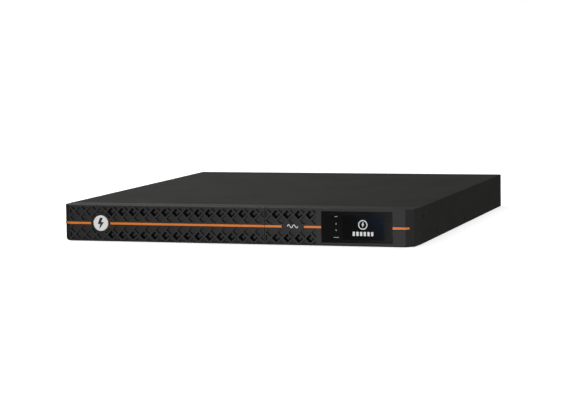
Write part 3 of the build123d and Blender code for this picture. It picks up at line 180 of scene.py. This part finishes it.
# ---- Powder-coated steel ------------------------------------------------------------------------
# The cover, the rear panel and the slot cover are folded steel with a black-grey powder coat. The coat
# is matt, with the fine orange peel that a baked powder leaves.
def finish(name, pieces=(), colour=None, rough=None, relief=None, detail=2.0, drawn=(1.0, 1.0, 1.0),
           **shader_values):
    """Material of one finish, given to CAD nodes. Noise on object coordinates, with a grain of a size in
    mm, takes the colour from dark to light, the roughness from low to high and the surface up to a depth
    in mm: colour is (dark, light, size), rough (low, high, size) and relief (depth, size). The finest
    grain has the detail given, and drawn stretches each grain along the axes, as rolling does."""
    made, tree, shader = material(name, **shader_values)
    where = add(tree, "ShaderNodeTexCoord")
    sizes = sorted({use[-1] for use in (colour, rough, relief) if use})
    grain = {}
    for size_mm in sizes:
        scaled = add(tree, "ShaderNodeMapping", [("Vector", where.outputs["Object"])],
                     Scale=[1.0 / (size_mm * MM * k) for k in drawn])
        noise = add(tree, "ShaderNodeTexNoise", [("Vector", scaled.outputs["Vector"])], Scale=1.0,
                    Detail=detail if size_mm == sizes[0] else 2.0, Roughness=0.5)
        grain[size_mm] = noise.outputs["Fac"]
    if colour:
        dark, light, size_mm = colour
        ramp = add(tree, "ShaderNodeValToRGB", [("Fac", grain[size_mm])], [(0.35, dark), (0.65, light)])
        tree.links.new(ramp.outputs["Color"], shader.inputs["Base Color"])
    if rough:
        low, high, size_mm = rough
        spread = add(tree, "ShaderNodeMapRange", [("Value", grain[size_mm])], From_Min=0.3, From_Max=0.7,
                     To_Min=low, To_Max=high)
        tree.links.new(spread.outputs["Result"], shader.inputs["Roughness"])
    if relief:
        depth_mm, size_mm = relief
        lifted = add(tree, "ShaderNodeBump", [("Height", grain[size_mm])], Distance=depth_mm * MM)
        tree.links.new(lifted.outputs["Normal"], shader.inputs["Normal"])
    for piece in pieces:
        nodes[piece].data.materials.clear()
        nodes[piece].data.materials.append(made)
    return made


# Baked polyester powder on steel: nearly without shine, and faintly pebbled close to.
PEEL_MM, PEEL_DEPTH_MM = 0.9, 0.02
finish("powder_coat_black_grey", ["top_cover", "rear_panel", "card_slot_cover"],
       colour=("#373736", "#3a3a39", 60.0), rough=(0.62, 0.7, PEEL_MM), relief=(PEEL_DEPTH_MM, PEEL_MM),
       Specular_IOR_Level=0.03)


# ---- Bezel plastic ------------------------------------------------------------------------------
# The battery cover and the display bezel are moulded in flame-retardant ABS, through-coloured dark
# grey, with the fine matt grain of a spark-eroded mould.

# Injection-moulded ABS: dark and matt, with a soft sheen on edges and bevels.
GRAIN_MM, GRAIN_DEPTH_MM = 0.35, 0.012  # the real grain is 0.1 mm across; drawn coarser so that it shows
finish("abs_spark_grain_dark_grey", ["door_bezel", "display_bezel"], colour=("#272727", "#2a2a2a", 25.0),
       rough=(0.5, 0.57, GRAIN_MM), relief=(GRAIN_DEPTH_MM, GRAIN_MM), detail=3.0, Specular_IOR_Level=0.35)


# ---- Stripe -------------------------------------------------------------------------------------
# Five strips of orange ABS, pressed into a groove in the face and round its two corners. The two on the
# battery cover come away with it.

# Moulded ABS with a satin face: a bright, even orange with a soft highlight.
finish("abs_orange", ["door_stripe_corner", "door_stripe_main", "stripe_seam_side", "stripe_panel_side",
                      "stripe_corner_right"],
       colour=("#f08228", "#f78a2f", 12.0), rough=(0.36, 0.42, 3.0), relief=(0.008, 0.4))


# ---- Badge and printed marks --------------------------------------------------------------------
# The badge is a white ABS button pressed into a round recess. Every mark is one pass of screen-printing
# ink a few hundredths of a millimetre thick: a bolt on the badge and a sine wave on the pad.

# Moulded ABS with a polished face: clean white, glossier than the bezel round it.
finish("abs_white", ["badge"], colour=("#fbfbfb", "#ffffff", 8.0), rough=(0.24, 0.3, 3.0))

INK_MM, INK_GRAIN_MM = 0.04, 0.8
INK_ROUGH = (0.55, 0.65, INK_GRAIN_MM)
# Screen-printing ink: flat and slightly uneven, with no gloss of its own.
ink_grey = finish("ink_dark_grey", colour=("#1d1d1e", "#232324", INK_GRAIN_MM), rough=INK_ROUGH)
ink_white = finish("ink_white", colour=("#f2f4f5", "#fafbfb", INK_GRAIN_MM), rough=INK_ROUGH)


def mark(name, left, right, front, made, body, loop=False):
    """Coat of ink on a face whose front is at depth front: a point is (1 - v) left(u) + v right(u), where
    u runs down two edges given in mm, and in a loop round and back to the start."""
    v = np.linspace(0.0, 1.0, 3)[None, :, None]
    edge_a, edge_b = (np.asarray(edge, dtype=float)[:, None, :] for edge in (left, right))
    points = ((1 - v) * edge_a + v * edge_b) * MM
    if loop:
        points = points[:-1, ::-1].transpose(1, 0, 2)
    depth = np.full(points.shape[:2], front - INK_MM * MM)
    piece = place(name, grid_mesh(name, points[..., 0], depth, points[..., 1], close_u=loop), made)
    coat = piece.modifiers.new("coat", "SOLIDIFY")
    coat.thickness, coat.offset = 0.9 * INK_MM * MM, -1.0  # stops just short of the face behind
    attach(piece, body)


def stroke(x, z, width):
    """The two edges of a line: its path less and plus half its width along the path's normal."""
    along = np.stack([np.gradient(x), np.gradient(z)], axis=-1)
    normal = np.stack([-along[:, 1], along[:, 0]], axis=-1) / np.linalg.norm(along, axis=-1, keepdims=True)
    middle = np.stack([x, z], axis=-1)
    return middle - normal * width / 2, middle + normal * width / 2


def middle_of(name):
    """The middle of a CAD node seen from the front, as X and Z in mm."""
    low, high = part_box(name)
    return np.array([(low[0] + high[0]) / 2 / MM, (low[2] + high[2]) / 2 / MM])


BOLT_LEFT = np.array([(-0.6, 5.0), (-3.0, -0.8), (-0.6, -0.8), (-1.4, -5.0)])
BOLT_RIGHT = np.array([(2.2, 5.0), (0.6, 1.0), (3.2, 1.0), (-1.1, -5.0)])
BADGE_BOLT = 1.3  # times the bolt's edges above, which are 10 mm tall
badge_at = middle_of("badge")
mark("badge_bolt", badge_at + BADGE_BOLT * BOLT_LEFT, badge_at + BADGE_BOLT * BOLT_RIGHT,
     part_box("badge")[0][1], ink_grey, "battery_door")
WAVE_X, WAVE_Z, WAVE_LONG, WAVE_RISE, WAVE_LINE = 67.4, 22.2, 13.0, 1.7, 0.9
turn_u = np.linspace(0.0, 2.0, 49)
wave_x = WAVE_X + WAVE_LONG * turn_u / 2
wave_z = WAVE_Z + WAVE_RISE * np.sin(2 * math.pi * turn_u)
mark("pad_wave", *stroke(wave_x, wave_z, WAVE_LINE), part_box("display_bezel")[0][1], ink_white, "chassis")


# ---- Display ------------------------------------------------------------------------------------
# A gloss black acrylic lens with a tinted window let into it, four gloss key caps, and white ink marks:
# a dash, two arrows and a longer dash on the keys, a battery sign and its level shown on the screen.

# Cast acrylic painted black on its back: deep black, with sharp reflections.
finish("acrylic_gloss_black", ["display_lens", "key_power", "key_up", "key_down", "key_enter"],
       colour=("#0b0b0b", "#0d0d0d", 20.0), rough=(0.09, 0.1, 20.0))
# Smoke-tinted acrylic over an unlit LCD: black, lightening to a blue grey towards the upper right, which
# is a painted reflection in the base colour.
REFLECTION_RISE, REFLECTION_START = 0.9, 0.032  # weight of height against width, and metres before the painted reflection begins
tinted = finish("acrylic_tinted_window_painted_reflection", ["display_window"], rough=(0.05, 0.06, 20.0))
window_lo, window_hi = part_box("display_window")
tinted_at = add(tinted.node_tree, "ShaderNodeTexCoord")
reflection_axis = add(tinted.node_tree, "ShaderNodeVectorMath", [("Vector", tinted_at.outputs["Object"])],
           operation="DOT_PRODUCT")
reflection_axis.inputs[1].default_value = (1.0, 0.0, REFLECTION_RISE)
spread = add(tinted.node_tree, "ShaderNodeMapRange", [("Value", reflection_axis.outputs["Value"])],
             From_Min=window_lo[0] + REFLECTION_RISE * window_lo[2] + REFLECTION_START,
             From_Max=window_hi[0] + REFLECTION_RISE * window_hi[2])
# Painted reflection: the base colour runs from the tint's black to a lighter blue grey towards the upper
# right, standing in for a reflection on the window.
painted_reflection_ramp = add(tinted.node_tree, "ShaderNodeValToRGB", [("Fac", spread.outputs["Result"])],
           [(0.0, "#0c0d0c"), (1.0, "#1a2130")])
tinted.node_tree.links.new(
    painted_reflection_ramp.outputs["Color"], tinted.node_tree.nodes["Principled BSDF"].inputs["Base Color"])

KEY_DASH, ENTER_DASH, ARROW, ARROW_TIP, KEY_LINE = 3.4, 6.2, 1.9, 0.05, 0.8
ink_key = finish("ink_light_grey", colour=("#a8a8a2", "#b4b4ae", INK_GRAIN_MM), rough=INK_ROUGH)
for name, width in (("key_power", KEY_DASH), ("key_enter", ENTER_DASH)):
    mid_x, mid_z = middle_of(name)
    run = np.linspace(mid_x - width / 2, mid_x + width / 2, 5)
    mark(name + "_mark", *stroke(run, np.full(5, mid_z), KEY_LINE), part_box(name)[0][1], ink_key, name)
for name, tip in (("key_up", 1), ("key_down", -1)):
    point, base = tip * ARROW / 2, -tip * ARROW / 2
    sides = [[(-ARROW / 2, base), (-ARROW_TIP, point)], [(ARROW / 2, base), (ARROW_TIP, point)]]
    if tip > 0:
        sides = [edge[::-1] for edge in sides]
    mark(name + "_mark", middle_of(name) + np.array(sides[0]), middle_of(name) + np.array(sides[1]),
         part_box(name)[0][1], ink_key, name)

SIGN_X, SIGN_Z, SIGN_R, SIGN_LINE, SIGN_BOLT = 158.3, 25.1, 5.0, 1.1, 0.55
screen_y = window_lo[1]
round_u = np.linspace(0.0, 2 * math.pi, 65)
round_x, round_z = SIGN_X + SIGN_R * np.cos(round_u), SIGN_Z + SIGN_R * np.sin(round_u)
mark("screen_ring", *stroke(round_x, round_z, SIGN_LINE), screen_y, ink_white, "chassis", loop=True)
sign_at = np.array([SIGN_X, SIGN_Z])
mark("screen_bolt", sign_at + SIGN_BOLT * BOLT_LEFT, sign_at + SIGN_BOLT * BOLT_RIGHT, screen_y,
     ink_white, "chassis")
LEVEL_X, LEVEL_Z, LEVEL_BARS, BAR_SHARE = (145.2, 171.6), (12.2, 17.0), 6, 0.62
bar_pitch = (LEVEL_X[1] - LEVEL_X[0]) / LEVEL_BARS
for k in range(LEVEL_BARS):
    bar_x = np.full(3, LEVEL_X[0] + bar_pitch * (k + 0.5))
    bar_z = np.linspace(LEVEL_Z[1], LEVEL_Z[0], 3)
    mark(f"screen_level_{k + 1}", *stroke(bar_x, bar_z, bar_pitch * BAR_SHARE), screen_y, ink_white,
         "chassis")


# ---- Zinc-plated sheet --------------------------------------------------------------------------
# The pan, front plate, bay wall and tray are bent from zinc-plated sheet. The two baffles behind the open
# cells are the same sheet, painted matt black, with a near-black tone that is painted shade for the deep
# cells.

# Electro-galvanised steel: a pale, faintly cloudy metal.
finish("zinc_plated_sheet", ["base_pan", "front_plate", "bay_wall", "tray_pan"],
       colour=("#a9abaa", "#bcbebd", 6.0), rough=(0.34, 0.44, 6.0), detail=4.0, Metallic=1.0)
# Sprayed matt black on steel, with a near-black tone that is painted shade: it stands in for the shade
# deep inside the open cells.
finish("matt_black_paint_and_painted_shade", ["door_baffle", "vent_baffle"], colour=("#060606", "#080808", 5.0),
       rough=(0.75, 0.85, 1.5), Specular_IOR_Level=0.15)


# ---- Screws, pillars and turned parts -----------------------------------------------------------
# The cover's screws and the tray's handle are blackened, the inner screws, pillars and earth stud are
# zinc-plated, and the thumbscrews, blades and port shells are nickel-plated.

# Oxide-blackened steel: a dull black metal, patchy where it is handled.
finish("steel_black_oxide", ["cover_screws", "tray_handle"], colour=("#2a2a2b", "#343436", 2.0),
       rough=(0.38, 0.5, 2.0), detail=4.0, Metallic=1.0)
# Bright zinc-plated steel: silvery and slightly blue, with smears.
finish("steel_bright_zinc", ["pan_screws", "standoffs", "earth_stud"],
       colour=("#c0c4c8", "#d0d3d6", 1.5), rough=(0.22, 0.34, 1.5), detail=3.0, Metallic=1.0)
# Nickel-plated brass: a warm, bright metal with fine streaks along its length.
finish("brass_nickel_plated", ["thumbscrew_left", "thumbscrew_right", "inlet_pins", "data_port",
                               "serial_port"],
       colour=("#b9b3a6", "#c8c3b8", 0.6), rough=(0.18, 0.3, 0.6), drawn=(1.0, 12.0, 1.0), Metallic=1.0)


# ---- Moulded parts inside and behind ------------------------------------------------------------
# Connectors, guides, pegs, fans, sockets, the breaker and the keys' switches are plain mouldings, each
# with the faint mottle of its resin and the grain of its mould.
def moulding(name, pieces, dark, light, grain_mm, rough):
    """Finish of plain moulded plastic: a wide mottle from dark to light, and a grain in mm that lifts the
    surface by a hundredth of a millimetre and spreads the roughness a little to each side."""
    finish(name, pieces, colour=(dark, light, 12.0), rough=(rough - 0.04, rough + 0.04, grain_mm),
           relief=(0.01, grain_mm), detail=3.0)


# Unfilled nylon 6: creamy, with a waxy sheen.
moulding("nylon_natural", ["tray_guides", "door_pegs"], "#d9d3c2", "#e2ddce", 1.0, 0.45)
# Dyed nylon of the battery connector: mid grey and dull.
moulding("nylon_grey", ["bay_connector", "tray_connector"], "#5a5d60", "#64676a", 0.8, 0.5)
# Glass-filled PBT of the sockets and the breaker: black and dull.
moulding("pbt_black", ["mains_inlet", "outlet_bank", "breaker_body", "key_switches"],
         "#17181a", "#1d1e20", 0.6, 0.5)
# PBT of the fans: black, a little glossier than the sockets.
moulding("pbt_fan_black", ["fan_frame_left", "fan_frame_right", "fan_rotor_left", "fan_rotor_right"],
         "#131315", "#1a1a1c", 0.8, 0.42)
# Thermoplastic of the reset button: dark red with a soft highlight.
moulding("thermoplastic_red", ["breaker_button"], "#8e1f1c", "#9a2622", 0.8, 0.35)
# Polyamide of the screw terminal: mid green and satin.
moulding("polyamide_green", ["switch_terminal"], "#2f7a4a", "#388553", 0.7, 0.42)


# ---- Batteries ----------------------------------------------------------------------------------
# Four sealed lead-acid blocks in dark ABS cases stand in the tray, and bare copper straps join their
# terminals.

# Flame-retardant ABS: blue-black and satin.
moulding("abs_battery_case", ["battery_1", "battery_2", "battery_3", "battery_4"],
         "#232529", "#2a2c31", 1.2, 0.48)
# Rolled copper strip: warm red metal with lines along the roll.
finish("copper_bare", ["battery_links"], colour=("#c4744f", "#d68a63", 0.5), rough=(0.24, 0.36, 0.5),
       drawn=(1.0, 20.0, 1.0), Metallic=1.0)


# ---- Boards and display module ------------------------------------------------------------------
# Glass-epoxy boards under green solder mask, screwed to pillars in the pan and behind the display, and
# the grey frame of the LCD module.

# Solder mask over glass-epoxy laminate: glossy green with a faint weave.
WEAVE_MM = 1.2  # the real weave is 0.5 mm; drawn coarser so that it shows
mask = finish("fr4_solder_mask", ["main_board", "display_board"], rough=(0.26, 0.36, 5.0))
weave_at = add(mask.node_tree, "ShaderNodeTexCoord")
weave = add(mask.node_tree, "ShaderNodeTexChecker", [("Vector", weave_at.outputs["Object"])],
            Scale=1.0 / (WEAVE_MM * MM), Color1=linear("#14502c"), Color2=linear("#175732"))
mask.node_tree.links.new(
    weave.outputs["Color"], mask.node_tree.nodes["Principled BSDF"].inputs["Base Color"])
# Polycarbonate frame of the LCD: dark grey, satin.
moulding("polycarbonate_grey", ["lcd_module"], "#3a3d40", "#434649", 1.0, 0.4)


# ---- Power parts --------------------------------------------------------------------------------
# The transformer has a varnished stack of silicon-steel laminations round a taped winding. Six
# transistors stand against an extruded aluminium sink, beside six sleeved capacitors.
WAVE_REPEAT = 0.314  # metres after which a wave texture of scale 1 repeats


def banded(name, piece, dark, light, low, high, repeat_mm, depth_mm, values, **wave_settings):
    """Finish of a stacked or wound part: waves that repeat every repeat_mm take the colour from dark to
    light between two heights of the wave, and lift the surface by depth_mm."""
    made, tree, shader = material(name, **values)
    where = add(tree, "ShaderNodeTexCoord")
    bands = add(tree, "ShaderNodeTexWave", [("Vector", where.outputs["Object"])],
                Scale=WAVE_REPEAT / (repeat_mm * MM), **wave_settings)
    ramp = add(tree, "ShaderNodeValToRGB", [("Fac", bands.outputs["Fac"])], [(low, dark), (high, light)])
    lifted = add(tree, "ShaderNodeBump", [("Height", bands.outputs["Fac"])], Distance=depth_mm * MM)
    tree.links.new(ramp.outputs["Color"], shader.inputs["Base Color"])
    tree.links.new(lifted.outputs["Normal"], shader.inputs["Normal"])
    nodes[piece].data.materials.clear()
    nodes[piece].data.materials.append(made)


# Varnished 0.5 mm laminations: brown-grey lines across the stack, drawn 3 mm apart so that they show.
banded("silicon_steel_laminations", "transformer_core", "#3c3a39", "#5c5855", 0.2, 0.8, 3.0, 0.08,
       {"Metallic": 0.6, "Roughness": 0.5}, bands_direction="Z", Distortion=0.4)
# Polyester winding tape: shiny yellow turns, each 20 mm wide with a raised edge.
banded("polyester_tape_yellow", "transformer_winding", "#b98a1e", "#d8aa38", 0.0, 1.0, 20.0, 0.06,
       {"Roughness": 0.34}, bands_direction="Y", wave_profile="SAW", Distortion=0.2)
# Mill-finish aluminium extrusion: pale metal with die lines along Y.
finish("aluminium_extruded", ["heat_sink"], colour=("#b4b7ba", "#c6c9cc", 0.5), rough=(0.3, 0.42, 0.5),
       drawn=(1.0, 40.0, 1.0), Metallic=1.0)
# Epoxy of the transistors' packages: black and matt.
moulding("epoxy_black", ["power_transistors"], "#121213", "#18181a", 0.5, 0.55)
# Shrunk PVC sleeve of the capacitors: black and smooth, with a sharp highlight.
moulding("pvc_sleeve_black", ["capacitors"], "#15171c", "#1b1e24", 2.0, 0.3)

for name, node in nodes.items():
    if not node.data.materials or node.data.materials[0] is None:
        raise ValueError(name + " has no material")
